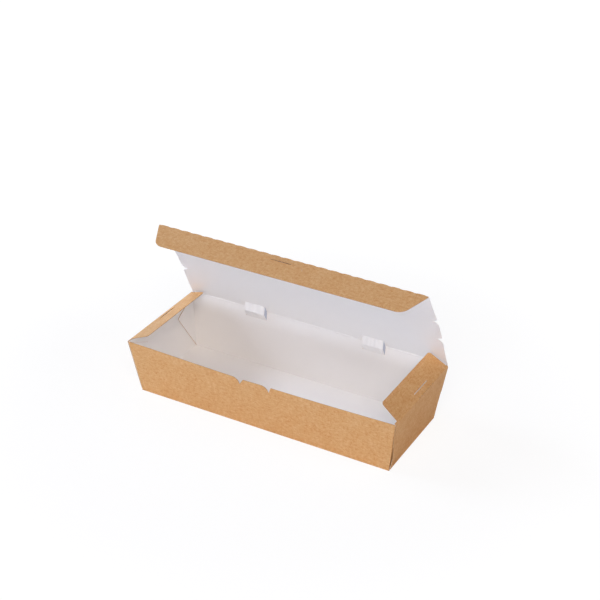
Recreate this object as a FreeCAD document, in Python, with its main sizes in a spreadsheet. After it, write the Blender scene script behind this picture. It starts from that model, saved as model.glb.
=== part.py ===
import FreeCAD, Part
import math
import os
import Sketcher

# Takeaway box folded from one sheet of coated board.
# Origin: centre of the underside. +X is the long direction, +Y the hinge side, +Z up.
# Every crease lies on the outer, brown face of the board, and panels thicken inwards.

os.makedirs("parts", exist_ok=True)
doc = FreeCAD.newDocument("TakeawayBox")

# Driving sizes, in millimetres and degrees
SIZES = [
    ("board", 0.4),
    ("base_length", 188.5),
    ("base_width", 68.0),
    ("wall_height", 41.0),
    ("wall_lean", 8.0),
    ("end_wall_drop", 0.8),
    ("front_wall_drop", 1.2),
    ("corner_slit", 0.5),
    ("glue_flap_reach", 20.5),
    ("glue_flap_peak", 29.0),
    ("glue_flap_top_gap", 1.2),
    ("glue_flap_round", 2.5),
    ("lid_angle", 61.3),
    ("lid_depth", 78.4),
    ("lid_end_gap", 1.05),
    ("crease_gap", 0.7),
    ("scallop_pitch", 8.7),
    ("scallop_width", 6.4),
    ("scallop_rise", 0.45),
    ("scallop_margin", 1.8),
    ("scallop_room", 0.2),
    ("recess_foot", 0.5),
    ("recess_rise", 0.35),
    ("tuck_angle", 105.2),
    ("tuck_depth", 19.7),
    ("tuck_root_gap", 0.4),
    ("tuck_taper", 9.0),
    ("tuck_round", 5.0),
    ("tuck_slit_length", 21.0),
    ("tuck_slit_offset", 4.6),
    ("tuck_slit_tail", 3.9),
    ("slit_width", 0.4),
    ("flap_depth", 15.8),
    ("flap_gap", 0.8),
    ("flap_front_root", 3.5),
    ("flap_front_corner", 3.5),
    ("flap_back_root", 2.2),
    ("flap_back_corner", 6.5),
    ("flap_round", 2.0),
    ("flap_slit_length", 19.0),
    ("flap_slit_offset", 4.0),
    ("right_flap_angle", 41.5),
    ("left_flap_angle", 23.9),
    ("lock_offset", 2.5),
    ("notch_spacing", 21.0),
    ("notch_depth", 4.3),
    ("notch_run", 4.9),
    ("notch_back", 2.0),
    ("notch_curve", 6.5),
    ("strap_width", 16.6),
    ("strap_station", 45.8),
    ("strap_leaf", 6.3),
    ("strap_gap", 0.5),
    ("strap_side_gap", 0.4),
    ("overcut", 1.0),
]

sheet = doc.addObject("Spreadsheet::Sheet", "Sizes")
for row, (name, value) in enumerate(SIZES, 1):
    sheet.set(f"A{row}", name)
    sheet.set(f"B{row}", str(value))
    sheet.setAlias(f"B{row}", name)
doc.recompute()

# Places that several panels share, as expressions on the sheet
LEAN_RUN = "Sizes.wall_height * tan(Sizes.wall_lean)"
HINGE_Y = f"(Sizes.base_width / 2 + {LEAN_RUN})"
HINGE_Z = "Sizes.wall_height"
BACK_SLANT = "(Sizes.wall_height / cos(Sizes.wall_lean))"
FRONT_SLANT = "((Sizes.wall_height - Sizes.front_wall_drop) / cos(Sizes.wall_lean))"
END_HEIGHT = "(Sizes.wall_height - Sizes.end_wall_drop)"
END_SLANT = f"({END_HEIGHT} / cos(Sizes.wall_lean))"
END_X = f"(Sizes.base_length / 2 + {END_HEIGHT} * tan(Sizes.wall_lean))"
END_HALF_WIDTH = f"(Sizes.base_width / 2 + {END_HEIGHT} * tan(Sizes.wall_lean))"
LID_HALF_LENGTH = f"(Sizes.base_length / 2 + {LEAN_RUN} - Sizes.lid_end_gap)"
LID_FRONT_Y = f"({HINGE_Y} - Sizes.lid_depth * cos(Sizes.lid_angle))"
LID_FRONT_Z = f"({HINGE_Z} + Sizes.lid_depth * sin(Sizes.lid_angle))"
CORNER_INSET = "Sizes.board / cos(Sizes.wall_lean)"
SCALLOP_START = f"(Sizes.scallop_margin - ({LID_HALF_LENGTH}))"


def number(expression):
    return float(sheet.evalExpression(expression))


def datum(body, role):
    return next(item for item in body.Origin.OriginFeatures if item.Role == role)


def new_sketch(body, name, role="XY_Plane"):
    sketch = body.newObject("Sketcher::SketchObject", name)
    sketch.AttachmentSupport = [(datum(body, role), "")]
    sketch.MapMode = "FlatFace"
    return sketch


def drive(sketch, expression, kind, *where):
    """Add one constraint whose value is an expression on the sheet."""
    place = sketch.addConstraint(Sketcher.Constraint(kind, *where, number(expression)))
    sketch.setExpression(f"Constraints[{place}]", expression)


def arc_middle(start, end, radius):
    """Middle point of the arc that bows to the right of the way from start to end."""
    chord = end - start
    rise = radius - math.sqrt(radius ** 2 - chord.Length ** 2 / 4)
    return (start + end) / 2 + FreeCAD.Vector(chord.y, -chord.x, 0).normalize() * rise


def draw_loop(sketch, corners):
    """Closed outline. A corner is (x, y), or (x, y, radius) where an arc leaves it, as expressions."""
    points = [FreeCAD.Vector(number(corner[0]), number(corner[1]), 0) for corner in corners]
    edges = []
    for start, end, corner in zip(points, points[1:] + points[:1], corners):
        curve = Part.LineSegment(start, end)
        if len(corner) == 3:
            curve = Part.Arc(start, arc_middle(start, end, number(corner[2])), end)
        edge = sketch.addGeometry(curve)
        drawn = sketch.Geometry[edge]
        turned = (drawn.StartPoint - start).Length > (drawn.EndPoint - start).Length
        edges.append((edge, 2, 1) if turned else (edge, 1, 2))
        if len(corner) == 3:
            drive(sketch, corner[2], "Radius", edge)
    for (edge, _, tail), (after, head, _) in zip(edges, edges[1:] + edges[:1]):
        sketch.addConstraint(Sketcher.Constraint("Coincident", edge, tail, after, head))
    for (edge, head, _), corner in zip(edges, corners):
        drive(sketch, corner[0], "DistanceX", -1, 1, edge, head)
        drive(sketch, corner[1], "DistanceY", -1, 1, edge, head)


def panel(name, corners, place, turn):
    """One flat panel of the sheet: its outline padded by the board, then folded about its crease."""
    body = doc.addObject("PartDesign::Body", name)
    body.Label = name
    draw_loop(new_sketch(body, "Outline"), corners)
    pad = body.newObject("PartDesign::Pad", "Board")
    pad.Profile = body.Group[0]
    pad.setExpression("Length", "Sizes.board")
    axis, angle = turn
    where = "; ".join(place)
    body.setExpression("Placement", f"placement(vector({where}); rotation(vector({axis}); {angle}))")
    doc.recompute()
    return body


def cut_through(body, name, loops):
    """Die-cut holes and notches through the board."""
    sketch = new_sketch(body, name + "Outline")
    for loop in loops:
        draw_loop(sketch, loop)
    volume = body.Shape.Volume
    pocket = body.newObject("PartDesign::Pocket", name)
    pocket.Profile = sketch
    pocket.Type = "ThroughAll"
    pocket.Reversed = True
    doc.recompute()
    if not body.Shape.Volume < volume:
        raise RuntimeError(f"{body.Label}: {name} removes nothing")


def round_corners(body, radius, *corners):
    """Round the panel's corners at the given places of its outline."""
    same_place = 1e-4
    tip = body.Tip
    places = [FreeCAD.Vector(number(x), number(y), 0) for x, y in corners]
    edges = []
    for index, edge in enumerate(tip.Shape.Edges, 1):
        ends = [FreeCAD.Vector(vertex.X, vertex.Y, 0) for vertex in edge.Vertexes]
        if any(all((end - place).Length < same_place for end in ends) for place in places):
            edges.append(f"Edge{index}")
    fillet = body.newObject("PartDesign::Fillet", "Rounding")
    fillet.Base = (tip, edges)
    fillet.setExpression("Radius", radius)
    doc.recompute()


def rectangle(x_low, x_high, y_low, y_high):
    return [(x_low, y_low), (x_high, y_low), (x_high, y_high), (x_low, y_high)]


def hook_notch(x, y, along, inward):
    """Notch at (x, y) on an edge: a round side, a tip, and a steep side that hooks on the mating slit."""
    def at(run, depth):
        return (f"{x} + ({run}) * {along[0]} + ({depth}) * {inward[0]}",
                f"{y} + ({run}) * {along[1]} + ({depth}) * {inward[1]}")
    return [
        at("-Sizes.notch_run", "0") + ("Sizes.notch_curve",),
        at("0", "Sizes.notch_depth"),
        at("Sizes.notch_back", "0"),
        at("Sizes.notch_back", "-Sizes.overcut"),
        at("-Sizes.notch_run", "-Sizes.overcut"),
    ]


# Base and the four walls

def base_panel():
    half_length = "Sizes.base_length / 2"
    half_width = "Sizes.base_width / 2"
    corners = rectangle(f"-{half_length}", half_length, f"-{half_width}", half_width)
    return panel("base_panel", corners, ("0", "0", "0"), ("0; 0; 1", "0"))


def wall_corners(half_foot, slant, side):
    """Wall outline that widens upwards. side is 1 or -1: which way it lies from its crease in the flat."""
    half_top = f"({half_foot} + {slant} * sin(Sizes.wall_lean))"
    top = f"{side} * {slant}"
    return [(f"-({half_foot})", "0"), (half_foot, "0"), (half_top, top), (f"-{half_top}", top)]


def front_wall():
    half_foot = f"(Sizes.base_length / 2 - {CORNER_INSET})"
    wall = panel("front_wall", wall_corners(half_foot, FRONT_SLANT, -1),
                 ("0", "-Sizes.base_width / 2", "0"), ("1; 0; 0", "-(90 - Sizes.wall_lean)"))
    notches = [hook_notch(f"{side} * Sizes.notch_spacing / 2", f"-{FRONT_SLANT}", (1, 0), (0, 1))
               for side in (-1, 1)]
    cut_through(wall, "HookNotches", notches)
    return wall


def back_wall():
    half_foot = f"(Sizes.base_length / 2 - {CORNER_INSET})"
    wall = panel("back_wall", wall_corners(half_foot, BACK_SLANT, 1),
                 ("0", "Sizes.base_width / 2", "0"), ("1; 0; 0", "90 - Sizes.wall_lean"))
    cut_through(wall, "StrapWindows", [
        strap_window(side, f"{BACK_SLANT} - Sizes.strap_leaf", f"{BACK_SLANT} + Sizes.overcut")
        for side in (-1, 1)])
    return wall


def strap_window(side, y_low, y_high):
    middle = f"{side} * Sizes.strap_station"
    return rectangle(f"{middle} - Sizes.strap_width / 2", f"{middle} + Sizes.strap_width / 2", y_low, y_high)


def end_wall(name, side):
    half_foot = "(Sizes.base_width / 2 - Sizes.corner_slit)"
    corners = [(y, x) for x, y in wall_corners(half_foot, END_SLANT, side)]
    return panel(name, corners, (f"{side} * Sizes.base_length / 2", "0", "0"),
                 ("0; 1; 0", f"{-side} * (90 - Sizes.wall_lean)"))


def glue_flap(name, side, end):
    """Flap glued inside an end wall. side picks the wall, end its front (-1) or back (1) corner."""
    half_width = "Sizes.base_width / 2"
    top = f"({END_SLANT} - Sizes.glue_flap_top_gap)"
    peak_x = f"{side} * Sizes.glue_flap_peak"
    peak_y = f"{end} * ({half_width} + Sizes.glue_flap_peak * sin(Sizes.wall_lean) - Sizes.glue_flap_reach)"
    corners = [
        ("0", f"{end} * {half_width}"),
        (f"{side} * {top}", f"{end} * ({half_width} + {top} * sin(Sizes.wall_lean))"),
        (peak_x, peak_y),
    ]
    place = (f"{side} * (Sizes.base_length / 2 - Sizes.board * cos(Sizes.wall_lean))", "0",
             "Sizes.board * sin(Sizes.wall_lean)")
    flap = panel(name, corners, place, ("0; 1; 0", f"{-side} * (90 - Sizes.wall_lean)"))
    round_corners(flap, "Sizes.glue_flap_round", (peak_x, peak_y))
    return flap


def tray():
    panels = [base_panel(), front_wall(), back_wall(), end_wall("right_wall", 1), end_wall("left_wall", -1)]
    for side, side_word in ((1, "right"), (-1, "left")):
        for end, end_word in ((-1, "front"), (1, "back")):
            panels.append(glue_flap(f"glue_flap_{side_word}_{end_word}", side, end))
    whole = doc.addObject("Part::MultiFuse", "Tray")
    whole.Shapes = panels
    whole.Refine = True
    whole.Label = "tray"
    return whole


# Lid with its scalloped cut crease, hook notches and strap windows

def lid():
    corners = rectangle(f"-{LID_HALF_LENGTH}", LID_HALF_LENGTH, "Sizes.crease_gap", "Sizes.lid_depth")
    body = panel("lid", corners, ("0", HINGE_Y, HINGE_Z), ("1; 0; 0", "180 - Sizes.lid_angle"))
    scallop_recesses(body)
    middle = f"({HINGE_Y} - Sizes.lock_offset)"
    notches = []
    for side in (-1, 1):
        for step in (-1, 1):
            y = f"{middle} + {step} * Sizes.notch_spacing / 2"
            notches.append(hook_notch(f"{side} * {LID_HALF_LENGTH}", y, (0, side), (-side, 0)))
    cut_through(body, "HookNotches", notches)
    cut_through(body, "StrapWindows", [
        strap_window(side, "-Sizes.overcut", "Sizes.strap_leaf") for side in (-1, 1)])
    return body


def arc_radius(width, rise):
    """Radius of the arc with this width and rise."""
    return f"(({width}) ^ 2 / 4 + ({rise}) ^ 2) / (2 * ({rise}))"


def scallop_row(body, feature):
    """Repeats one scallop along the lid's front crease."""
    row = body.newObject("PartDesign::LinearPattern", "ScallopRow")
    row.Originals = [feature]
    row.Direction = (datum(body, "X_Axis"), [""])
    span = f"(2 * {LID_HALF_LENGTH} - 2 * Sizes.scallop_margin - Sizes.scallop_width)"
    row.setExpression("Length", span)
    row.Occurrences = round(number(span) / number("Sizes.scallop_pitch")) + 1
    body.Tip = row
    doc.recompute()


def scallop_recesses(body):
    """Row of round recesses in the lid's front edge, from which the tuck flap's tongues are cut."""
    start = f"({SCALLOP_START} - Sizes.scallop_room)"
    end = f"({SCALLOP_START} + Sizes.scallop_width + Sizes.scallop_room)"
    beyond = "(Sizes.lid_depth + Sizes.overcut)"
    foot = "(Sizes.lid_depth - Sizes.recess_foot)"
    radius = arc_radius("Sizes.scallop_width + 2 * Sizes.scallop_room", "Sizes.recess_rise")
    cut_through(body, "ScallopRecess", [[(start, foot, radius), (end, foot), (end, beyond), (start, beyond)]])
    scallop_row(body, body.Tip)


def scallop_tongues(body):
    """Row of low round tongues on the tuck flap's root, which stand up past the crease."""
    end = f"({SCALLOP_START} + Sizes.scallop_width)"
    root = "(Sizes.crease_gap + Sizes.board)"
    radius = arc_radius("Sizes.scallop_width", "Sizes.scallop_rise")
    sketch = new_sketch(body, "ScallopOutline")
    draw_loop(sketch, [(SCALLOP_START, "0", radius), (end, "0"), (end, root), (SCALLOP_START, root)])
    pad = body.newObject("PartDesign::Pad", "ScallopTongue")
    pad.Profile = sketch
    pad.setExpression("Length", "Sizes.board")
    doc.recompute()
    scallop_row(body, pad)


# Tuck flap on the lid's front crease

def tuck_flap():
    root = f"({LID_HALF_LENGTH} - Sizes.tuck_root_gap)"
    tip = f"({LID_HALF_LENGTH} - Sizes.tuck_taper)"
    corners = [(f"-{root}", "Sizes.crease_gap"), (root, "Sizes.crease_gap"),
               (tip, "Sizes.tuck_depth"), (f"-{tip}", "Sizes.tuck_depth")]
    body = panel("tuck_flap", corners, ("0", LID_FRONT_Y, LID_FRONT_Z),
                 ("1; 0; 0", "360 - Sizes.lid_angle - Sizes.tuck_angle"))
    round_corners(body, "Sizes.tuck_round", corners[2], corners[3])
    scallop_tongues(body)
    cut_through(body, "TongueSlit", [tuck_slit()])
    return body


def tuck_slit():
    """Slit for the front wall's tongue: straight, with a quarter turn towards the free edge at each end."""
    half = "Sizes.tuck_slit_length / 2"
    low = "Sizes.tuck_slit_offset"
    high = "(Sizes.tuck_slit_offset + Sizes.slit_width)"
    outer = "Sizes.tuck_slit_tail"
    inner = "(Sizes.tuck_slit_tail - Sizes.slit_width)"
    end = f"({low} + {outer})"
    return [
        (f"-{half}", low),
        (half, low, outer),
        (f"{half} + {outer}", end),
        (f"{half} + {inner}", end),
        (half, high),
        (f"-{half}", high),
        (f"-{half} - {inner}", end),
        (f"-{half} - {outer}", end, outer),
    ]


# End flaps on the end walls' top creases

def end_flap(name, side, angle):
    front_root = f"-({END_HALF_WIDTH} - Sizes.flap_front_root)"
    front_corner = f"-({END_HALF_WIDTH} - Sizes.flap_front_corner)"
    back_corner = f"({END_HALF_WIDTH} - Sizes.flap_back_corner)"
    back_root = f"({END_HALF_WIDTH} - Sizes.flap_back_root)"
    near = f"{side} * Sizes.flap_gap"
    far = f"{side} * Sizes.flap_depth"
    corners = [(near, front_root), (far, front_corner), (far, back_corner), (near, back_root)]
    body = panel(name, corners, (f"{side} * {END_X}", "0", END_HEIGHT),
                 ("0; 1; 0", f"{-side} * (180 - {angle})"))
    round_corners(body, "Sizes.flap_round", corners[1], corners[2])
    slit_x = f"{side} * Sizes.flap_slit_offset"
    slit = rectangle(slit_x, f"{slit_x} + Sizes.slit_width",
                     "Sizes.lock_offset - Sizes.flap_slit_length / 2",
                     "Sizes.lock_offset + Sizes.flap_slit_length / 2")
    cut_through(body, "LockSlit", [slit])
    return body


# Hinge straps: cut out of the wall and the lid, and folded into the box as the lid comes forward

def hinge_strap(name, side):
    """Two leaves: the lower runs parallel to the lid, the upper parallel to the back wall."""
    body = doc.addObject("PartDesign::Body", name)
    body.Label = name
    leaf = "Sizes.strap_leaf"
    lean = "Sizes.wall_lean"
    lid = "Sizes.lid_angle"
    wall_y = f"({HINGE_Y} - {leaf} * sin({lean}))"
    wall_z = f"({HINGE_Z} - {leaf} * cos({lean}))"
    fold_y = f"({wall_y} - {leaf} * cos({lid}))"
    fold_z = f"({wall_z} + {leaf} * sin({lid}))"
    start_y = f"({wall_y} - Sizes.strap_gap * cos({lid}))"
    start_z = f"({wall_z} + Sizes.strap_gap * sin({lid}))"
    reach = f"({leaf} - Sizes.strap_gap)"
    end_y = f"({fold_y} + {reach} * sin({lean}))"
    end_z = f"({fold_z} + {reach} * cos({lean}))"
    miter = f"Sizes.board / (1 + sin({lid} - {lean}))"
    inner_y = f"{fold_y} - {miter} * (sin({lid}) + cos({lean}))"
    inner_z = f"{fold_z} + {miter} * (sin({lean}) - cos({lid}))"
    corners = [
        (start_y, start_z),
        (fold_y, fold_z),
        (end_y, end_z),
        (f"{end_y} - Sizes.board * cos({lean})", f"{end_z} + Sizes.board * sin({lean})"),
        (inner_y, inner_z),
        (f"{start_y} - Sizes.board * sin({lid})", f"{start_z} - Sizes.board * cos({lid})"),
    ]
    draw_loop(new_sketch(body, "Profile", "YZ_Plane"), corners)
    pad = body.newObject("PartDesign::Pad", "Strap")
    pad.Profile = body.Group[0]
    pad.Midplane = True
    pad.setExpression("Length", "Sizes.strap_width - 2 * Sizes.strap_side_gap")
    body.setExpression("Placement.Base.x", f"{side} * Sizes.strap_station")
    doc.recompute()
    return body


pieces = [
    tray(),
    lid(),
    tuck_flap(),
    end_flap("end_flap_right", 1, "Sizes.right_flap_angle"),
    end_flap("end_flap_left", -1, "Sizes.left_flap_angle"),
    hinge_strap("hinge_strap_right", 1),
    hinge_strap("hinge_strap_left", -1),
]
doc.recompute()

for item in doc.Objects:
    if "Invalid" in item.State or "Error" in item.State:
        raise RuntimeError(f"{item.Label} failed: {item.State}")
for piece in pieces:
    shape = piece.Shape
    if shape.isNull() or not shape.isValid() or len(shape.Solids) != 1:
        raise RuntimeError(f"{piece.Label} is not one sound solid")
    shape.exportStep(f"parts/{piece.Label}.step")
    print(piece.Label, round(shape.Volume, 1), shape.BoundBox)
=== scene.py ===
import math

import bmesh
import bpy
from mathutils import Matrix, Vector, noise


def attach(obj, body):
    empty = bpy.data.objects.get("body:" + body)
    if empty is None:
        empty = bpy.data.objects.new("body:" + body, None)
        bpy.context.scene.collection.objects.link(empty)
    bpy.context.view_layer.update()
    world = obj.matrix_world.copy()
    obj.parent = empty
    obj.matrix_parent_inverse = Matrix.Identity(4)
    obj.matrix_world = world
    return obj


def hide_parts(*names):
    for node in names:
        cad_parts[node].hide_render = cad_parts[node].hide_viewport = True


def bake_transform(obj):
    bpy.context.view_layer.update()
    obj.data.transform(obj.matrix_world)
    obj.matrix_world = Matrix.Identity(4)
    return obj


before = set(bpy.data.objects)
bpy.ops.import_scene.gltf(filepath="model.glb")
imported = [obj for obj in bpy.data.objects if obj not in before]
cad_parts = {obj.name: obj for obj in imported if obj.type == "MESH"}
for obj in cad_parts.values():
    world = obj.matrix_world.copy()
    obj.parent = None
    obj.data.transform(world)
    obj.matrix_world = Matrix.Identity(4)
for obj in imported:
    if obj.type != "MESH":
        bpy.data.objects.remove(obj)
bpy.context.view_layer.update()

# Tray: the base, the four walls and the four glue flaps, one piece of 0.4 mm board that is brown and
# uncoated outside and coated white inside. It is die-cut flat, creased and folded up, and the glue flaps
# are stuck to the inside of the end walls.

mm = 0.001
BOARD = 0.4
LEAN = math.radians(8)
SPREAD = math.sin(LEAN)
BASE_X, BASE_Y = 94.25, 34.0
CREASE_REACH = 1.2
CREASE_RADIUS = 0.7
BROWN_SIDE, WHITE_SIDE, CUT_SIDE = range(3)


def everywhere(place):
    return True


class Blank:
    """Board drawn flat, in millimetres, with its white face up, then cut, creased and folded."""

    ROUNDING_STEPS = 5
    CREASE_MARGIN = 0.35
    SHARP_BEND = math.radians(35)

    def __init__(self, *outlines):
        """A corner of an outline is x, y and, where it is rounded, how far back that starts."""
        self.bm = bmesh.new()
        for outline in outlines:
            corners = [self.bm.verts.new((x * mm, y * mm, 0)) for x, y, *_ in outline]
            self.bm.faces.new(corners)
            for corner, (_, _, *rounding) in zip(corners, outline):
                if rounding:
                    bmesh.ops.bevel(self.bm, geom=[corner], affect="VERTICES", offset=rounding[0] * mm,
                                    offset_type="OFFSET", segments=self.ROUNDING_STEPS, profile=0.5,
                                    material=-1)
        bmesh.ops.reverse_faces(self.bm, faces=self.bm.faces)

    def cut(self, faces, at, across):
        """Line of vertices on some faces, through a point and square to across."""
        edges = {edge for face in faces for edge in face.edges}
        verts = {vert for face in faces for vert in face.verts}
        bmesh.ops.bisect_plane(self.bm, geom=[*verts, *edges, *faces], dist=1e-7,
                               plane_co=Vector((*at, 0)) * mm, plane_no=Vector((*across, 0)))

    def slice(self, at, across, part=everywhere):
        self.cut([face for face in self.bm.faces if part(face.calc_center_median() / mm)], at, across)

    def slices(self, axis, start, end, count, part=everywhere):
        across = (1, 0) if axis == "x" else (0, 1)
        for step in range(count):
            place = start + (end - start) * step / (count - 1)
            self.slice((place * across[0], place * across[1]), across, part)

    def crease(self, at, across, turn, radius=CREASE_RADIUS, steps=6, part=everywhere):
        """Lines of vertices on which the board will bend."""
        across = Vector(across).normalized()
        reach = radius * math.tan(abs(turn) / 2)
        bend = [reach * (2 * step / steps - 1) for step in range(steps + 1)]
        for offset in (-reach - self.CREASE_MARGIN, *bend, reach + self.CREASE_MARGIN):
            self.slice((Vector(at) + across * offset).to_tuple(), across, part)

    def punch(self, corners):
        """Die-cuts a small hole with straight sides that is nowhere hollow."""
        points = [Vector(corner) for corner in corners]
        middle = sum(points, Vector((0, 0))) / len(points)
        reach = max((point - middle).length for point in points)

        sides = []
        for start, end in zip(points, points[1:] + points[:1]):
            square = Vector((end.y - start.y, start.x - end.x)).normalized()
            if square.dot(middle - start) > 0:
                square = -square
            sides.append((start, square))
        for start, square in sides:
            self.cut([face for face in self.bm.faces if self.near(face, middle, reach)], start, square)

        def inside(face):
            centre = face.calc_center_median().xy / mm
            return all((centre - start).dot(square) < 0 for start, square in sides)

        bmesh.ops.delete(self.bm, geom=[face for face in self.bm.faces if inside(face)], context="FACES")

    def near(self, face, middle, reach):
        xs = [vert.co.x / mm for vert in face.verts]
        ys = [vert.co.y / mm for vert in face.verts]
        return (min(xs) < middle.x + reach and max(xs) > middle.x - reach
                and min(ys) < middle.y + reach and max(ys) > middle.y - reach)

    def lay_out(self, origin=(0, 0)):
        """Ends the flat stage: keeps each vertex's place on the sheet, for the folds and the grain."""
        grain = self.bm.loops.layers.uv.new("sheet")
        self.flat = {vert: vert.co / mm for vert in self.bm.verts}
        for face in self.bm.faces:
            for loop in face.loops:
                loop[grain].uv = loop.vert.co.xy + Vector(origin) * mm

    def bow(self, depth):
        """Lets the board belly outwards. depth gives millimetres for a place on the sheet."""
        for vert, place in self.flat.items():
            vert.co.z -= depth(place) * mm

    def fold(self, at, across, turn, radius=CREASE_RADIUS, part=everywhere):
        """Folds up what lies beyond a crease, on a round back of the given radius."""
        across = Vector((*across, 0)).normalized()
        at = Vector((*at, 0)) * mm
        radius = math.copysign(radius * mm, turn)
        reach = radius * math.tan(turn / 2)
        for vert, place in self.flat.items():
            if not part(place):
                continue
            run, rise = (vert.co - at).dot(across), vert.co.z
            if run <= -reach:
                continue
            angle = turn * min((run + reach) / (2 * reach), 1)
            beyond = max(run - reach, 0)
            new_run = -reach + (radius - rise) * math.sin(angle) + beyond * math.cos(angle)
            new_rise = radius - (radius - rise) * math.cos(angle) + beyond * math.sin(angle)
            vert.co += across * (new_run - run) + Vector((0, 0, new_rise - rise))

    def board(self, name, place, finishes):
        """Gives the sheet its thickness, puts it in place and makes the piece."""
        bmesh.ops.transform(self.bm, matrix=place, verts=self.bm.verts)
        outside = set(self.bm.verts)
        self.bm.normal_update()
        bmesh.ops.solidify(self.bm, geom=self.bm.faces[:], thickness=BOARD * mm)
        for face in self.bm.faces:
            count = sum(vert in outside for vert in face.verts)
            face.material_index = {len(face.verts): BROWN_SIDE, 0: WHITE_SIDE}.get(count, CUT_SIDE)
            face.smooth = True
        mesh = bpy.data.meshes.new(name)
        self.bm.to_mesh(mesh)
        self.bm.free()
        mesh.set_sharp_from_angle(angle=self.SHARP_BEND)
        for finish in finishes:
            mesh.materials.append(finish)
        piece = bpy.data.objects.new(name, mesh)
        bpy.context.scene.collection.objects.link(piece)
        return piece


class Value:
    """A node socket that takes part in sums."""

    def __init__(self, finish, socket):
        self.finish, self.socket = finish, socket

    def math(self, operation, first, second):
        return self.finish.add("ShaderNodeMath", {"operation": operation}, {0: first, 1: second})

    def __add__(self, other):
        return self.math("ADD", self, other)

    def __sub__(self, other):
        return self.math("SUBTRACT", self, other)

    def __rsub__(self, other):
        return self.math("SUBTRACT", other, self)

    def __mul__(self, other):
        return self.math("MULTIPLY", self, other)

    def __gt__(self, other):
        return self.math("GREATER_THAN", self, other)

    __radd__, __rmul__ = __add__, __mul__


class Finish:
    """Builds the nodes of a material or a world."""

    BUMP_DEPTH = 0.05 * mm

    def __init__(self, owner):
        self.owner = owner
        owner.use_nodes = True
        self.tree = owner.node_tree
        self.tree.nodes.clear()

    def add(self, kind, settings, inputs, output=0):
        node = self.tree.nodes.new(kind)
        for key, setting in settings.items():
            if key == "stops":
                ramp = node.color_ramp
                while len(ramp.elements) < len(setting):
                    ramp.elements.new(0.5)
                for element, (position, colour) in zip(ramp.elements, setting):
                    element.position, element.color = position, (*colour, 1)
            else:
                setattr(node, key, setting)
        for key, value in inputs.items():
            if isinstance(value, Value):
                self.tree.links.new(value.socket, node.inputs[key])
            elif isinstance(value, tuple) and len(value) == 3 and node.inputs[key].type == "RGBA":
                node.inputs[key].default_value = (*value, 1)
            else:
                node.inputs[key].default_value = value
        return Value(self, node.outputs[output])

    def mix(self, factor, first, second):
        return self.add("ShaderNodeMix", {"data_type": "RGBA"}, {0: factor, 6: first, 7: second}, 2)

    def noise(self, where, scale, detail, roughness=0.55):
        return self.add("ShaderNodeTexNoise", {}, {
            "Vector": where, "Scale": scale, "Detail": detail, "Roughness": roughness})

    def stretched(self, where, scale, turn=0.0):
        return self.add("ShaderNodeMapping", {}, {
            "Vector": where, "Scale": scale, "Rotation": (0, 0, math.radians(turn))})

    def surface(self, colour, roughness, bump, height, **constants):
        normal = self.add("ShaderNodeBump", {}, {
            "Strength": bump, "Distance": self.BUMP_DEPTH, "Height": height})
        shader = self.add("ShaderNodeBsdfPrincipled", {}, {
            "Base Color": colour, "Roughness": roughness, "Normal": normal, **constants})
        self.add_output(shader)
        return self.owner

    def add_output(self, shader, kind="ShaderNodeOutputMaterial"):
        node = self.tree.nodes.new(kind)
        self.tree.links.new(shader.socket, node.inputs["Surface"])


def brown_board():
    """Uncoated brown side: soft clouds, pulp, long wood fibres lying two ways, and a few dark specks."""
    kraft = Finish(bpy.data.materials.new("brown_board"))
    sheet = kraft.add("ShaderNodeUVMap", {"uv_map": "sheet"}, {})
    clouds = kraft.noise(sheet, scale=90, detail=3)
    pulp = kraft.noise(kraft.stretched(sheet, (0.75, 1, 1)), scale=560, detail=4, roughness=0.62)
    fibres = kraft.noise(kraft.stretched(sheet, (0.28, 1, 1), turn=12),
                         scale=1100, detail=3, roughness=0.6)
    strands = kraft.noise(kraft.stretched(sheet, (1, 0.2, 1), turn=-20),
                          scale=900, detail=3, roughness=0.6)
    grain = kraft.noise(sheet, scale=1500, detail=2, roughness=0.6)
    tone = clouds * 0.4 + pulp * 1.2 + grain + fibres * 0.75 + strands * 0.5 - 1.425
    dark, middle, pale = (0.61, 0.285, 0.091), (0.686, 0.379, 0.151), (0.75, 0.472, 0.231)
    stops = [(0.15, dark), (0.5, middle), (0.85, pale)]
    colour = kraft.add("ShaderNodeValToRGB", {"stops": stops}, {0: tone})
    specks = kraft.noise(sheet, scale=2100, detail=1) > 0.735
    colour = kraft.mix(specks * 0.2, colour, (0.32, 0.17, 0.08))
    matte = {"Specular IOR Level": 0.35}
    return kraft.surface(colour, 0.7 + pulp * 0.2, bump=0.35, height=pulp + fibres * 0.8, **matte)


def white_board():
    """Coated white side: smooth, faintly cloudy, with a soft sheen."""
    coat = Finish(bpy.data.materials.new("white_board"))
    sheet = coat.add("ShaderNodeUVMap", {"uv_map": "sheet"}, {})
    clouds = coat.noise(sheet, scale=60, detail=3)
    pulp = coat.noise(sheet, scale=800, detail=4, roughness=0.65)
    colour = coat.mix(clouds * 0.6 + pulp * 0.4, (0.88, 0.845, 0.815), (0.92, 0.885, 0.855))
    return coat.surface(colour, 0.38 + pulp * 0.2, bump=0.12, height=pulp)


def cut_face_finish(name, dark, pale, roughness):
    """Cut face of the board in the colours given: bare pulp, and at the slit a dark painted shade."""
    edge = Finish(bpy.data.materials.new(name))
    pulp = edge.noise(edge.add("ShaderNodeTexCoord", {}, {}, "Object"), scale=1800, detail=3)
    return edge.surface(edge.mix(pulp, dark, pale), roughness, bump=0.3, height=pulp)


brown, white = brown_board(), white_board()
cut = cut_face_finish("cut_board", (0.46, 0.25, 0.10), (0.62, 0.38, 0.19), roughness=0.85)
finishes = [brown, white, cut]

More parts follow.
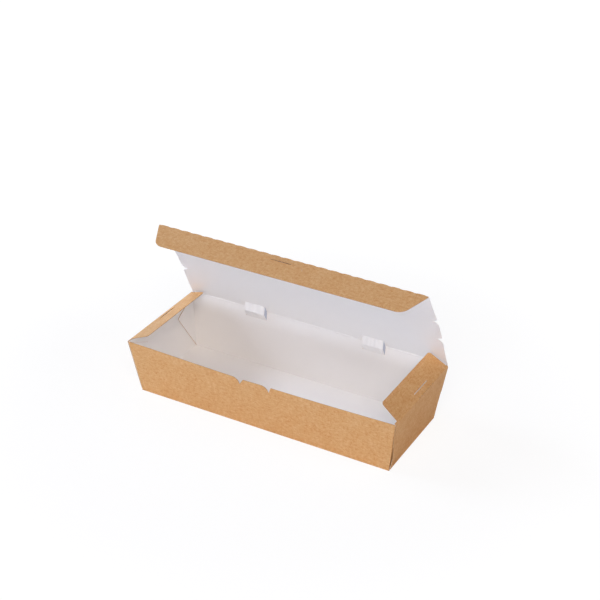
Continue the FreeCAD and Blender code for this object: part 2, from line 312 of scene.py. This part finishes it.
FRONT_HEIGHT, BACK_HEIGHT, END_HEIGHT = 39.8, 41.0, 40.2
FRONT_SLANT, BACK_SLANT, END_SLANT = (
    height / math.cos(LEAN) for height in (FRONT_HEIGHT, BACK_HEIGHT, END_HEIGHT))
WALL_TURN = math.pi / 2 - LEAN
CORNER_TURN = math.acos(SPREAD * SPREAD)
CORNER_X = BASE_X - 0.45
FRONT_TOP = -(BASE_Y + FRONT_SLANT)
BACK_TOP = BASE_Y + BACK_SLANT - CREASE_REACH
END_TOP = END_SLANT - CREASE_REACH

GLUE_POINT, GLUE_POINT_ROUND = (26.45, 20.3), 1.6
GLUE_TOP = (39.4, 0.15)

STRAP_X, STRAP_LEAF = 45.8, 6.3
WINDOW_HALF = 8.3
WINDOW_REACH = STRAP_LEAF + 0.25
WINDOW_FOOT = BASE_Y + BACK_SLANT - WINDOW_REACH

NOTCH_LEFT, NOTCH_RIGHT = -11.6, 10.1
FRONT_NOTCH_DEPTH, LEFT_NOTCH_BACK = 4.9, 3.2

SPRING_RIGHT, SPRING_RIGHT_HEIGHT, SPRING_LEFT, SPRING_REACH = 1.2, 21, 0.2, 5
BELLY, TONGUE_LEAN, TONGUE_REACH, TONGUE_HEIGHT = 1.95, 0.45, 14, 6


def hook_notch(run, edge, along, inward, depth=4.3, back=2.0):
    """Notch in an edge: a round shoulder, a tip, and a steep side that hooks on the mating slit."""
    shoulder, tip, hook = (-1.4, 0, 3.4), (0, depth), (back, 0, 0.6)
    return [(run + a * along[0] + d * inward[0], edge + a * along[1] + d * inward[1], *rounding)
            for a, d, *rounding in (shoulder, tip, hook)]


def on_glue_flap(along, out, side, end):
    """Place on a glue flap: along its corner crease from the foot, and out from the crease."""
    length = math.hypot(1, SPREAD)
    x = CORNER_X + (along * SPREAD + out) / length
    y = BASE_Y + (along - out * SPREAD) / length
    return side * x, end * y


def glue_flap(side, end, slant):
    """Glue flap's outline from the base corner to the wall's top corner."""
    return [on_glue_flap(0, 0, side, end), on_glue_flap(*GLUE_POINT, side, end) + (GLUE_POINT_ROUND,),
            on_glue_flap(*GLUE_TOP, side, end),
            (side * (CORNER_X + slant * SPREAD), end * (BASE_Y + slant))]


def end_wall_side(side, end):
    """End wall's outline at one corner, from foot to top. On the right its lower half stands clear."""
    if side > 0:
        slits = ((0, 0.5), (4, 0.6), (10, 1.0), (20.5, 1.0), (21.5, 0.2), (END_TOP, 0.2))
    else:
        slits = ((0, 0.5), (END_TOP, 0.3))
    return [(side * (BASE_X + height), end * (BASE_Y - slit + height * SPREAD))
            for height, slit in slits]


def end_wall(side):
    """End wall's outline with both base corners, from front to back."""
    corner = side * BASE_X
    return ([(corner, -BASE_Y)] + end_wall_side(side, -1) + end_wall_side(side, 1)[::-1]
            + [(corner, BASE_Y)])


def window_in_back(middle):
    left, right = middle - WINDOW_HALF, middle + WINDOW_HALF
    return [(right, BACK_TOP), (right, WINDOW_FOOT), (left, WINDOW_FOOT), (left, BACK_TOP)]


def on_ends(place):
    return abs(place.x) > BASE_X - 0.2 and abs(place.y) < BASE_Y - 0.1 + (abs(place.x) - BASE_X) / 2


def on_front(place):
    return place.y < -BASE_Y and not on_ends(place)


def on_back(place):
    return place.y > BASE_Y and not on_ends(place)


def beside_base(place):
    return abs(place.y) < BASE_Y


def wall_spring(place):
    """The end walls spring a little off the glue flaps along their front edges, the right one more."""
    if place.y >= 0:
        return 0
    height = abs(place.x) - BASE_X
    clear = BASE_Y + height * SPREAD - abs(place.y)
    if place.x > 0 and height < 20:
        spring = SPRING_RIGHT * math.sin(math.pi * height / SPRING_RIGHT_HEIGHT)
    else:
        spring = SPRING_LEFT * min(height / 4, 1)
    return spring * math.exp(-clear / SPRING_REACH)


def front_belly(place):
    """The front wall bellies outwards, most at the middle of its top edge, and its tongue leans out."""
    height = -place.y - BASE_Y
    half = CORNER_X + SPREAD * height
    if abs(place.x) > half:
        return 0
    along = math.sin(math.pi * (place.x + half) / (2 * half))
    belly = BELLY * along ** (1.5 if place.x < 0 else 0.95) * height / FRONT_SLANT
    if place.x <= NOTCH_LEFT:
        return belly
    near_top = max(0, 1 - (place.y - FRONT_TOP) / TONGUE_HEIGHT)
    near_left = max(0, 1 - (place.x - NOTCH_LEFT) / TONGUE_REACH)
    return belly + TONGUE_LEAN * near_top ** 2 * near_left


def relaxed(place):
    if on_ends(place):
        return wall_spring(place)
    return front_belly(place) if on_front(place) else 0


tray = Blank(
    hook_notch(NOTCH_LEFT, FRONT_TOP, (1, 0), (0, 1), FRONT_NOTCH_DEPTH, LEFT_NOTCH_BACK)
    + hook_notch(NOTCH_RIGHT, FRONT_TOP, (1, 0), (0, 1), FRONT_NOTCH_DEPTH)
    + glue_flap(1, -1, FRONT_SLANT)[::-1]
    + end_wall(1)
    + glue_flap(1, 1, BACK_SLANT - CREASE_REACH)
    + window_in_back(STRAP_X)
    + window_in_back(-STRAP_X)
    + glue_flap(-1, 1, BACK_SLANT - CREASE_REACH)[::-1]
    + end_wall(-1)[::-1]
    + glue_flap(-1, -1, FRONT_SLANT)
)
for side in (-1, 1):
    tray.crease((0, side * BASE_Y), (0, side), WALL_TURN)
for side in (-1, 1):
    tray.crease((side * BASE_X, 0), (side, 0), WALL_TURN, part=beside_base)
for side in (-1, 1):
    for end, part in ((-1, on_front), (1, on_back)):
        tray.crease((side * CORNER_X, end * BASE_Y), (side, -end * SPREAD), CORNER_TURN, part=part)

# These lines of vertices let the walls curve.
tray.slices("x", -88, 88, 23, part=lambda place: abs(place.x) < BASE_X + 2)
tray.slices("x", -8, 8, 7, part=lambda place: place.y < FRONT_TOP + 8)
tray.slices("y", FRONT_TOP + 1.2, FRONT_TOP + 4.8, 4, part=lambda place: abs(place.x) < 14)
tray.slices("y", FRONT_TOP + 6, -BASE_Y - 4, 6, part=on_front)
tray.slices("y", BASE_Y + 4, BASE_Y + 34, 5, part=on_back)
tray.slices("y", -30, 30, 9, part=beside_base)
for side in (-1, 1):
    tray.slices("x", side * (BASE_X + 4), side * (BASE_X + 36), 5, part=on_ends)
    tray.slices("y", -BASE_Y + 2, -BASE_Y + 14, 4, part=on_ends)

tray.lay_out()
tray.bow(relaxed)
for side in (-1, 1):
    tray.fold((side * BASE_X, 0), (side, 0), WALL_TURN, part=on_ends)
    for end, part in ((-1, on_front), (1, on_back)):
        tray.fold((side * CORNER_X, end * BASE_Y), (side, -end * SPREAD), CORNER_TURN, part=part)
tray.fold((0, -BASE_Y), (0, -1), WALL_TURN, part=on_front)
tray.fold((0, BASE_Y), (0, 1), WALL_TURN, part=on_back)
tray_sheet = tray.board("tray_sheet", Matrix.Identity(4), finishes)
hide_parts("tray")
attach(tray_sheet, "tray")

# Lid: a panel of the same sheet, joined to the back wall by a crease that is cut away at two windows.
# Its side edges have hook notches, and its front crease is cut in a row of low scallops.

LID_ANGLE = math.radians(61.3)
LID_DEPTH, LID_HALF = 78.4, 98.96
LID_FRONT = LID_DEPTH - CREASE_REACH
HINGE = (0, BASE_Y + BACK_HEIGHT * math.tan(LEAN), BACK_HEIGHT)
HINGE_ON_SHEET = BASE_Y + BACK_SLANT
LID_NOTCHES, NOTCH_STEP = HINGE[1] - 2.5, 10.5
SCALLOP_WIDTH, SCALLOP_MARGIN, SCALLOP_COUNT = 6.4, 1.8, 23
SCALLOP_SHOULDER = 1.7
LID_BELLY = 2


def frame_of(origin, along, away):
    """Frame of a panel that reaches away from a crease along its side, with its white face to +Z."""
    along, away = Vector(along), Vector(away)
    columns = (along, away, along.cross(away), Vector(origin) * mm)
    return Matrix([[column[row] for column in columns] for row in range(3)] + [[0, 0, 0, 1]])


wall_top = frame_of(HINGE, (1, 0, 0), (0, math.sin(LEAN), math.cos(LEAN)))
lid_place = frame_of(HINGE, (1, 0, 0), (0, -math.cos(LID_ANGLE), math.sin(LID_ANGLE)))
scallop_span = 2 * (LID_HALF - SCALLOP_MARGIN) - SCALLOP_WIDTH
scallop_starts = [SCALLOP_MARGIN - LID_HALF + scallop_span * step / (SCALLOP_COUNT - 1)
                  for step in range(SCALLOP_COUNT)]


def scallop(start, base, foot, rise):
    """One tongue of the cut crease, from foot up to base and a low round hump on it."""
    end = start + SCALLOP_WIDTH
    return [(start, foot), (start, base), (start + SCALLOP_SHOULDER, base + rise),
            (end - SCALLOP_SHOULDER, base + rise), (end, base), (end, foot)]


def window_in_lid(middle):
    left, right = middle - WINDOW_HALF, middle + WINDOW_HALF
    return [(left, CREASE_REACH), (left, WINDOW_REACH), (right, WINDOW_REACH), (right, CREASE_REACH)]


def lid_belly(place):
    share = (place.y - CREASE_REACH) / (LID_FRONT - CREASE_REACH)
    return LID_BELLY * math.sin(math.pi * share) ** 2


outline = [(-LID_HALF, CREASE_REACH)] + window_in_lid(-STRAP_X) + window_in_lid(STRAP_X)
outline += [(LID_HALF, CREASE_REACH)]
for step in (-1, 1):
    outline += hook_notch(LID_HALF, LID_NOTCHES + step * NOTCH_STEP, (0, 1), (-1, 0))
outline += [(LID_HALF, LID_FRONT)]
for start in reversed(scallop_starts):
    outline += scallop(start, LID_DEPTH - 0.3, LID_FRONT, -0.2)[::-1]
outline += [(-LID_HALF, LID_FRONT)]
for step in (1, -1):
    outline += hook_notch(-LID_HALF, LID_NOTCHES + step * NOTCH_STEP, (0, -1), (1, 0))

lid = Blank(outline)
lid.slices("y", 4, 74, 15)
lid.slices("x", -90, 90, 13)
lid.lay_out((0, HINGE_ON_SHEET))
lid.bow(lid_belly)
lid_sheet = lid.board("lid_sheet", lid_place, [brown, white, white])
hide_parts("lid")
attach(lid_sheet, "lid")

# Hinge crease: the bend between the back wall and the lid, in three lengths beside the two windows.
# It is the same sheet, pressed along a line by a creasing rule and bent there.

LID_TURN = math.pi / 2 + LEAN - LID_ANGLE
HINGE_RADIUS = 1.0
BEAD_WIDTH, BEAD_HEIGHT = 1.4, 0.6
inner, outer = STRAP_X - WINDOW_HALF, STRAP_X + WINDOW_HALF


def strip(start, end):
    return [(start, -CREASE_REACH), (end, -CREASE_REACH), (end, CREASE_REACH), (start, CREASE_REACH)]


def bead(place):
    """Raised line that the creasing rule has left on the white side, uneven along its length."""
    if abs(place.y) >= BEAD_WIDTH / 2:
        return 0
    ragged = 0.75 + 0.9 * noise.noise(Vector((place.x / 1.7, 0, 0)))
    return -BEAD_HEIGHT * ragged * math.cos(math.pi * place.y / BEAD_WIDTH) ** 2


def crease_piece(name, strips, place, turn, origin, radius, slots=(), relief=None):
    """Length of board that bends along a crease."""
    bend = Blank(*strips)
    for slot in slots:
        bend.punch(slot)
    bend.crease((0, 0), (0, 1), turn, radius)
    if relief:
        bend.slices("x", -LID_HALF + 0.7, LID_HALF - 0.7, 141)
    bend.lay_out(origin)
    if relief:
        bend.bow(relief)
    bend.fold((0, 0), (0, 1), turn, radius)
    return bend.board(name, place, finishes)


hinge_crease = crease_piece(
    "hinge_crease", [strip(-LID_HALF, -outer), strip(-inner, inner), strip(outer, LID_HALF)],
    wall_top, LID_TURN, (0, HINGE_ON_SHEET), HINGE_RADIUS, relief=bead)
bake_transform(hinge_crease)

# Hinge straps: two strips left between cuts through the hinge crease. Each is folded the other way, into
# the box, so that the lid stands open by itself, and its creases are part cut.

STRAP_RADIUS = 0.5
STRAP_GAP = 0.4
PERFORATION_STEP, PERFORATION_LENGTH, PERFORATION_COUNT = 2.9, 1.1, 5


def part_cut(run, off):
    """Row of little dents and ridges that the part-cut crease has raised."""
    if abs(off) >= 0.5:
        return 0
    height = -0.12 - 0.16 * math.cos(2 * math.pi * run / PERFORATION_STEP)
    return height * math.cos(math.pi * off) ** 2


def bar(start, length, middle, half):
    """Outline of a thin straight hole."""
    return [(start, middle - half), (start + length, middle - half),
            (start + length, middle + half), (start, middle + half)]


def strap(name, side, node):
    half = WINDOW_HALF - STRAP_GAP
    leaf = Blank([(-half, -WINDOW_REACH), (half, -WINDOW_REACH),
                  (half, WINDOW_REACH), (-half, WINDOW_REACH)])
    folds = ((-STRAP_LEAF, LID_TURN), (0, -LID_TURN), (STRAP_LEAF, LID_TURN))
    for at, shift in ((-0.4, 0), (0.3 - STRAP_LEAF, 0.6)):
        for step in range(PERFORATION_COUNT):
            start = shift + PERFORATION_STEP * (step - 2) - 0.8
            leaf.punch(bar(start, PERFORATION_LENGTH, at, 0.16))
    for at, turn in folds:
        leaf.crease((0, at), (0, 1), turn, STRAP_RADIUS, 4)
    leaf.slices("x", -half + 0.6, half - 0.6, 21)
    leaf.lay_out((side * STRAP_X, HINGE_ON_SHEET))
    ridges = (0, 0.45 - STRAP_LEAF, STRAP_LEAF - 0.45)
    leaf.bow(lambda spot: sum(part_cut(spot.x, spot.y - ridge) for ridge in ridges))
    for at, turn in reversed(folds):
        leaf.fold((0, at), (0, 1), turn, STRAP_RADIUS)
    place = wall_top @ Matrix.Translation((side * STRAP_X * mm, 0, 0))
    piece = leaf.board(name, place, [brown, white, white])
    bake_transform(piece)
    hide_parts(node)


strap("strap_right", 1, "hinge_strap_right")
strap("strap_left", -1, "hinge_strap_left")

# Tuck flap: the end of the same sheet. It hangs from the lid's front crease and goes inside the front
# wall when the box is closed. The tongues of the scalloped cut belong to it, and its die-cut slit takes
# the tongue of the front wall.

TUCK_TURN = math.radians(180 - 105.2)
TUCK_DEPTH, TUCK_ROUND = 19.7, 4.6
TUCK_RADIUS = 0.35
TUCK_ROOT, TUCK_TIP = LID_HALF - 0.4, LID_HALF - 9.0
TUCK_ON_SHEET = HINGE_ON_SHEET + LID_DEPTH
SLIT_HALF, SLIT_LOW, SLIT_HIGH = 10.5, 4.5, 4.56
TAIL_RADIUS, TAIL_INNER, TAIL_STEPS = 3.9, 3.78, 4
LIP_MIDDLE, LIP_HALF, LIP_HEIGHT = -1.5, 11.5, 0.46
# Material slot of the slit's cut faces, which carry a painted shade.
SLIT_SHADE_SIDE = 3
front_crease = lid_place @ Matrix.Translation((0, LID_DEPTH * mm, 0))
tuck_place = front_crease @ Matrix.Rotation(TUCK_TURN, 4, "X")


def slit_lip(place):
    """The board above the slit has sprung up along the slit, most of all left of the middle."""
    run = (place.x - LIP_MIDDLE) / LIP_HALF
    if abs(run) > 1 or not CREASE_REACH < place.y < SLIT_LOW + 0.02:
        return 0
    share = (place.y - CREASE_REACH) / (SLIT_LOW - CREASE_REACH)
    return LIP_HEIGHT * math.cos(math.pi * run / 2) * share ** 1.5


def tail(side, step):
    """One short straight length of the quarter circle in which the slit ends."""
    first, last = (math.pi / 2 * (step + share) / TAIL_STEPS for share in (0, 1))
    ring = ((first, TAIL_RADIUS), (last, TAIL_RADIUS), (last, TAIL_INNER), (first, TAIL_INNER))
    return [(side * (SLIT_HALF + radius * math.sin(turn)),
             SLIT_LOW + TAIL_RADIUS - radius * math.cos(turn)) for turn, radius in ring]


outline = [(-TUCK_ROOT, CREASE_REACH)]
for start in scallop_starts:
    outline += scallop(start, 0, CREASE_REACH, -0.3)
outline += [(TUCK_ROOT, CREASE_REACH), (TUCK_TIP, TUCK_DEPTH, TUCK_ROUND),
            (-TUCK_TIP, TUCK_DEPTH, TUCK_ROUND)]
tuck = Blank(outline)
tuck.punch([(-SLIT_HALF, SLIT_LOW), (SLIT_HALF, SLIT_LOW),
            (SLIT_HALF, SLIT_HIGH), (-SLIT_HALF, SLIT_HIGH)])
for side in (-1, 1):
    for step in range(TAIL_STEPS):
        tuck.punch(tail(side, step))
tuck.slices("y", 2.5, 18, 6)
tuck.slices("x", -90, 90, 19)
tuck.slices("x", -12, 10, 17, part=lambda place: place.y < SLIT_HIGH)
tuck.slices("y", 1.6, 4.1, 5, part=lambda place: abs(place.x) < 13 and place.y < SLIT_LOW)
tuck.lay_out((0, TUCK_ON_SHEET))
tuck.bow(slit_lip)
tuck_sheet = tuck.board("tuck_sheet", tuck_place, finishes)

# The slit's cut faces are given a dark painted shade, standing in for the shadow under the lip where it
# stands up.
tuck_sheet.data.materials.append(cut_face_finish("slit_painted_shade", (0.10, 0.05, 0.025), (0.20, 0.10, 0.05), 0.9))
for face in tuck_sheet.data.polygons:
    x, y, _ = tuck_place.inverted() @ face.center / mm
    if face.material_index == CUT_SIDE and -10.6 < x < 4 and 4.3 < y < 4.8:
        face.material_index = SLIT_SHADE_SIDE
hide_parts("tuck_flap")
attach(tuck_sheet, "tuck_flap")

tongue_sides = [start + shift for start in scallop_starts for shift in (0, SCALLOP_WIDTH)]
gaps = [-TUCK_ROOT, *tongue_sides, TUCK_ROOT]
tuck_crease = crease_piece(
    "tuck_crease", [strip(low, high) for low, high in zip(gaps[::2], gaps[1::2])],
    front_crease, TUCK_TURN, (0, TUCK_ON_SHEET), TUCK_RADIUS)
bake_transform(tuck_crease)

# End flaps: two flaps of the same sheet, one on the top crease of each end wall, folded in before the
# lid is closed. Each has a slit that the notched edge of the lid hooks into, and its crease is part cut
# at the middle.

END_X = BASE_X + END_HEIGHT * math.tan(LEAN)
END_HALF = BASE_Y + END_HEIGHT * math.tan(LEAN)
FLAP_DEPTH, FLAP_ROUND = 15.8, 2.2
FLAP_RADIUS = 0.9
FLAP_FRONT, FLAP_BACK, FLAP_FAR_BACK = END_HALF - 3.5, END_HALF - 2.2, END_HALF - 6.5
FLAP_ON_SHEET = 130
LOCK_MIDDLE, LOCK_HALF, LOCK_LOW, LOCK_HIGH = -2.5, 9.5, 4.0, 4.4
DASH_MIDDLE, DASH_STEP, DASH_LENGTH, DASH_COUNT = -4.5, 3.2, 1.6, 7


def flap_lip(place, middle, height):
    """The board between the crease and the slit has sprung up a little along the slit."""
    run = (place.x - middle) / 11
    if abs(run) > 1 or not CREASE_REACH < place.y < LOCK_LOW + 0.02:
        return 0
    return height * math.cos(math.pi * run / 2) * (place.y - CREASE_REACH) / (LOCK_LOW - CREASE_REACH)


def end_flap(word, side, angle, lip_height):
    turn = math.pi / 2 + LEAN - math.radians(angle)
    wall = frame_of((side * END_X, 0, END_HEIGHT), (0, -side, 0),
                    (side * math.sin(LEAN), 0, math.cos(LEAN)))
    place = wall @ Matrix.Rotation(turn, 4, "X")

    outline = [(-FLAP_BACK * side, CREASE_REACH), (FLAP_FRONT * side, CREASE_REACH),
               (FLAP_FRONT * side, FLAP_DEPTH, FLAP_ROUND),
               (-FLAP_FAR_BACK * side, FLAP_DEPTH, FLAP_ROUND)]
    flap = Blank(outline[::side])
    middle = side * LOCK_MIDDLE
    low, high = middle - LOCK_HALF, middle + LOCK_HALF
    flap.punch([(low, LOCK_LOW), (high, LOCK_LOW), (high, LOCK_HIGH), (low, LOCK_HIGH)])
    flap.slices("y", 3, 14, 5)
    flap.slices("x", -30, 30, 9)
    flap.slices("x", middle - 12, middle + 12, 13, part=lambda spot: spot.y < LOCK_LOW)
    flap.slices("y", 1.6, 3.6, 4, part=lambda spot: abs(spot.x - middle) < 13)
    flap.lay_out((side * FLAP_ON_SHEET, 0))
    flap.bow(lambda spot: flap_lip(spot, middle, lip_height))
    sheet = flap.board(f"end_flap_sheet_{word}", place, finishes)
    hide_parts(f"end_flap_{word}")
    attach(sheet, f"end_flap_{word}")

    dashes = [bar(side * DASH_MIDDLE + (step - 3) * DASH_STEP - 0.8, DASH_LENGTH, 0, 0.25)
              for step in range(DASH_COUNT)]
    low, high = sorted(((END_HALF - 0.15) * side, (1.2 - END_HALF) * side))
    bend = crease_piece(f"end_flap_crease_{word}", [strip(low, high)], wall, turn,
                        (side * FLAP_ON_SHEET, 0), FLAP_RADIUS, dashes)
    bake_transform(bend)


end_flap("right", 1, 41.5, 0.15)
end_flap("left", -1, 23.9, 0.5)

# Floor: a plain white table, a matt board some metres wide. Away from the box the camera sees it pure
# white, near the box it sees a little of the soft shadow, and the shade that shows past the ends of the
# straps is painted on behind the box.

FLOOR_HALF = 3
SHADOW_START, SHADOW_END, SHADOW_SHARE = 0.14, 0.34, 0.8
SHADE = (0.36, 0.36, 0.45)
SHADE_SKEW, SHADE_FADE = 0.552, 0.036
SHADE_MIDDLE, SHADE_HALF = (0.031, 0.0835), (0.051, 0.0235)


def white_floor():
    table = Finish(bpy.data.materials.new("white_table"))
    where = table.add("ShaderNodeTexCoord", {}, {}, "Object")
    distance = table.add("ShaderNodeVectorMath", {"operation": "LENGTH"}, {0: where}, 1)
    away = table.add("ShaderNodeMapRange", {"interpolation_type": "SMOOTHSTEP"}, {
        "Value": distance, "From Min": SHADOW_START, "From Max": SHADOW_END,
        "To Min": SHADOW_SHARE, "To Max": 1.0})

    x, y = (table.add("ShaderNodeSeparateXYZ", {}, {0: where}, output) for output in (0, 1))
    squares = []
    for run, middle, half in zip((x + y * SHADE_SKEW, y), SHADE_MIDDLE, SHADE_HALF):
        beyond = table.add("ShaderNodeMath", {"operation": "ABSOLUTE"}, {0: run - middle}) - half
        beyond = table.add("ShaderNodeMath", {"operation": "MAXIMUM"}, {0: beyond, 1: 0.0})
        squares.append(beyond * beyond)
    clear = table.add("ShaderNodeMapRange", {"interpolation_type": "SMOOTHSTEP"}, {
        "Value": squares[0] + squares[1], "From Min": 0.0, "From Max": SHADE_FADE ** 2})
    light = table.mix(clear, SHADE, (1, 1, 1))

    seen = table.add("ShaderNodeLightPath", {}, {}, "Is Camera Ray")
    diffuse = table.add("ShaderNodeBsdfDiffuse", {}, {"Color": (0.9, 0.9, 0.9), "Roughness": 1.0})
    glow = table.add("ShaderNodeEmission", {}, {"Color": light, "Strength": 1.05})
    table.add_output(table.add("ShaderNodeMixShader", {}, {0: seen * away, 1: diffuse, 2: glow}))
    return table.owner


ground = bmesh.new()
bmesh.ops.create_grid(ground, x_segments=1, y_segments=1, size=FLOOR_HALF)
mesh = bpy.data.meshes.new("floor")
ground.to_mesh(mesh)
ground.free()
mesh.materials.append(white_floor())
floor = bpy.data.objects.new("floor", mesh)
bpy.context.scene.collection.objects.link(floor)

# Light: a faint blue room that the camera sees as white, and large round lamps with a soft light, cool
# from the left and from behind, mostly warm from the front and the right.

COOL, WARM = (1, 1.14, 1.36), (1, 0.92, 0.84)

bpy.context.scene.world = bpy.data.worlds.new("room")
room = Finish(bpy.context.scene.world)
seen = room.add("ShaderNodeLightPath", {}, {}, "Is Camera Ray")
lit = room.add("ShaderNodeBackground", {}, {"Color": (0.1, 0.2, 1.0), "Strength": 0.07})
shown = room.add("ShaderNodeBackground", {}, {"Color": (1, 1, 1), "Strength": 1.0})
room.add_output(room.add("ShaderNodeMixShader", {}, {0: seen, 1: lit, 2: shown}),
                "ShaderNodeOutputWorld")


def lamp(name, place, size, power, colour):
    """Round lamp that looks at the box."""
    light = bpy.data.lights.new(name, "AREA")
    light.shape, light.size = "DISK", size
    light.energy, light.color = power, colour
    holder = bpy.data.objects.new(name, light)
    holder.location = place
    holder.rotation_mode = "QUATERNION"
    holder.rotation_quaternion = Vector(place).to_track_quat("Z", "Y")
    bpy.context.scene.collection.objects.link(holder)


lamp("left", (-1.35, -0.2, 0.8), 0.8, 13.2, COOL)
lamp("front", (0.2, -1.4, 0.5), 0.9, 3.4, WARM)
lamp("front_low", (0, -1.5, 0.12), 0.3, 4.8, COOL)
lamp("front_right_high", (0.6, -1.0, 1.1), 0.9, 9.2, WARM)
lamp("right", (1.3, 0.1, 0.5), 0.8, 4.9, WARM)
lamp("back_left", (-0.9, 0.9, 1.1), 0.8, 1.7, COOL)
lamp("back_low", (-0.9, 1.05, 0.3), 0.9, 6.4, COOL)

# Camera: stands at the photograph's angle and distance. Its place comes from a fit to the corners of the
# box, and the focal length is given in pixels of a picture 600 pixels wide.

AZIMUTH, ELEVATION, ROLL = (math.radians(angle) for angle in (28.92, 29.47, 0.52))
DISTANCE, SHIFT_X, SHIFT_Y = 951.75, 9.55, 70.12
FOCAL_LENGTH, PICTURE_WIDTH, SENSOR_WIDTH = 1406.73, 600, 36

back = Vector((math.sin(AZIMUTH) * math.cos(ELEVATION), -math.cos(AZIMUTH) * math.cos(ELEVATION),
               math.sin(ELEVATION)))
right = Vector((0, 0, 1)).cross(back).normalized()
up = back.cross(right)
camera_x = math.cos(ROLL) * right + math.sin(ROLL) * up
camera_y = -math.sin(ROLL) * right + math.cos(ROLL) * up
station = (DISTANCE * back + SHIFT_X * camera_x + SHIFT_Y * camera_y) * mm
camera = bpy.data.cameras.new("camera")
camera.sensor_width = SENSOR_WIDTH
camera.lens = FOCAL_LENGTH * SENSOR_WIDTH / PICTURE_WIDTH
viewer = bpy.data.objects.new("camera", camera)
columns = (camera_x, camera_y, back, station)
viewer.matrix_world = Matrix([[column[row] for column in columns] for row in range(3)] + [[0, 0, 0, 1]])
bpy.context.scene.collection.objects.link(viewer)
bpy.context.scene.camera = viewer
bpy.context.scene.view_settings.view_transform = "Standard"
